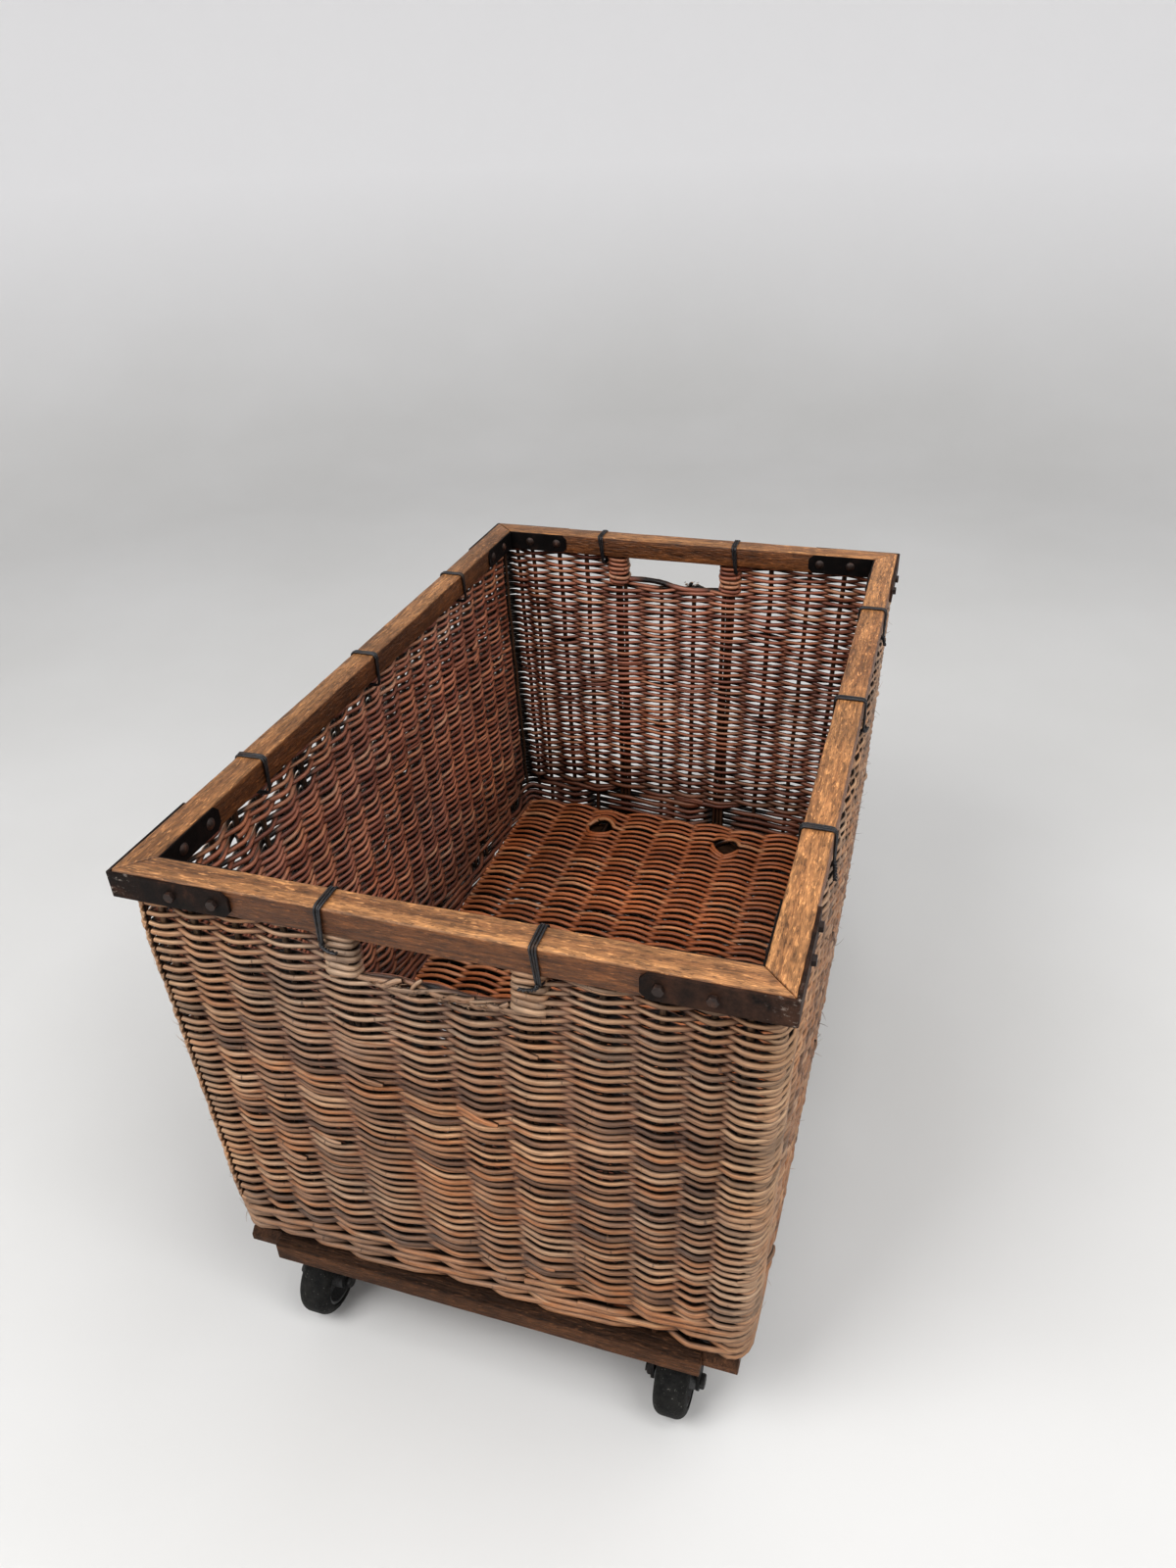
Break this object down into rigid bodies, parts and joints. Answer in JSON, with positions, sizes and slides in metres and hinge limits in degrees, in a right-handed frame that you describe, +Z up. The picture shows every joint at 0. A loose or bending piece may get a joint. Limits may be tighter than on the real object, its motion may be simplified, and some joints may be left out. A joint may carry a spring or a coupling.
{
  "type": "wheeled wicker log basket",
  "caption": "Tapered rectangular wicker basket with a mitred wooden rim, iron corner straps, hand holes and a wooden base on swivel casters.",
  "frame": {"origin": "on the floor under the middle of the basket, where the wheels stand", "axes": "+X to the right across the width, +Y along the length towards the back short end, +Z up"},
  "size_m": [0.5936, 0.9136, 0.6132],
  "materials": {
    "rim_wood": "weathered varnished batten, fibrous grain, worn edges",
    "wicker": "old peeled willow rods, grey-tan outside and dark red-brown inside",
    "wicker_floor": "worn orange-brown willow rods",
    "border_rod": "smooth worn willow rod",
    "base_wood": "dull red-brown softwood, scuffed",
    "strap_iron": "black-brown flat iron with rust and worn bright edges",
    "inner_strap_iron": "black flat iron",
    "bolt_iron": "dark oiled iron, worn corners",
    "tie_wire": "dark annealed wire with a little rust",
    "screw_steel": "dull steel",
    "caster_steel": "dull grey pressed steel with grime",
    "axle_steel": "dull zinc steel",
    "hub_iron": "grey cast iron",
    "tyre_rubber": "dusty black solid rubber"
  },
  "bodies": {
    "basket": {"rim_front": "rim_wood", "wicker_front": "wicker", "hand_hole_rod_front": "border_rod", "cross_board_front": "base_wood", "rim_back": "rim_wood", "wicker_back": "wicker", "hand_hole_rod_back": "border_rod", "cross_board_back": "base_wood", "rim_left": "rim_wood", "wicker_left": "wicker", "base_rail_left": "base_wood", "rim_right": "rim_wood", "wicker_right": "wicker", "base_rail_right": "base_wood", "wicker_floor": "wicker_floor", "middle_slat": "base_wood", "bracket_bolts": "bolt_iron", "rim_ties": "tie_wire", "base_screws": "screw_steel", "coach_screws": "screw_steel", "outer_bracket_front_left": "strap_iron", "inner_bracket_front_left": "inner_strap_iron", "caster_front_left_plate": "caster_steel", "caster_front_left_kingpin": "caster_steel", "outer_bracket_front_right": "strap_iron", "inner_bracket_front_right": "inner_strap_iron", "caster_front_right_plate": "caster_steel", "caster_front_right_kingpin": "caster_steel", "outer_bracket_back_left": "strap_iron", "inner_bracket_back_left": "inner_strap_iron", "caster_back_left_plate": "caster_steel", "caster_back_left_kingpin": "caster_steel", "outer_bracket_back_right": "strap_iron", "inner_bracket_back_right": "inner_strap_iron", "caster_back_right_plate": "caster_steel", "caster_back_right_kingpin": "caster_steel"},
    "caster_front_left_swivel": {"caster_front_left_ball_race": "caster_steel", "caster_front_left_fork": "caster_steel", "caster_front_left_axle": "axle_steel"},
    "caster_front_left_wheel": {"caster_front_left_hub": "hub_iron", "caster_front_left_tyre": "tyre_rubber"},
    "caster_front_right_swivel": {"caster_front_right_ball_race": "caster_steel", "caster_front_right_fork": "caster_steel", "caster_front_right_axle": "axle_steel"},
    "caster_front_right_wheel": {"caster_front_right_hub": "hub_iron", "caster_front_right_tyre": "tyre_rubber"},
    "caster_back_left_swivel": {"caster_back_left_ball_race": "caster_steel", "caster_back_left_fork": "caster_steel", "caster_back_left_axle": "axle_steel"},
    "caster_back_left_wheel": {"caster_back_left_hub": "hub_iron", "caster_back_left_tyre": "tyre_rubber"},
    "caster_back_right_swivel": {"caster_back_right_ball_race": "caster_steel", "caster_back_right_fork": "caster_steel", "caster_back_right_axle": "axle_steel"},
    "caster_back_right_wheel": {"caster_back_right_hub": "hub_iron", "caster_back_right_tyre": "tyre_rubber"}
  },
  "joints": [
    {"name": "caster_front_left_turn", "type": "hinge", "parent": "basket", "child": "caster_front_left_swivel", "pos_m": [-0.2, -0.383, 0.0865], "axis": [0, 0, 1], "continuous": true},
    {"name": "caster_front_left_roll", "type": "hinge", "parent": "caster_front_left_swivel", "child": "caster_front_left_wheel", "pos_m": [-0.2, -0.415, 0.04], "axis": [1, 0, 0], "continuous": true},
    {"name": "caster_front_right_turn", "type": "hinge", "parent": "basket", "child": "caster_front_right_swivel", "pos_m": [0.2, -0.383, 0.0865], "axis": [0, 0, 1], "continuous": true},
    {"name": "caster_front_right_roll", "type": "hinge", "parent": "caster_front_right_swivel", "child": "caster_front_right_wheel", "pos_m": [0.2, -0.415, 0.04], "axis": [1, 0, 0], "continuous": true},
    {"name": "caster_back_left_turn", "type": "hinge", "parent": "basket", "child": "caster_back_left_swivel", "pos_m": [-0.2, 0.383, 0.0865], "axis": [0, 0, 1], "continuous": true},
    {"name": "caster_back_left_roll", "type": "hinge", "parent": "caster_back_left_swivel", "child": "caster_back_left_wheel", "pos_m": [-0.2, 0.351, 0.04], "axis": [1, 0, 0], "continuous": true},
    {"name": "caster_back_right_turn", "type": "hinge", "parent": "basket", "child": "caster_back_right_swivel", "pos_m": [0.2, 0.383, 0.0865], "axis": [0, 0, 1], "continuous": true},
    {"name": "caster_back_right_roll", "type": "hinge", "parent": "caster_back_right_swivel", "child": "caster_back_right_wheel", "pos_m": [0.2, 0.351, 0.04], "axis": [1, 0, 0], "continuous": true}
  ]
}
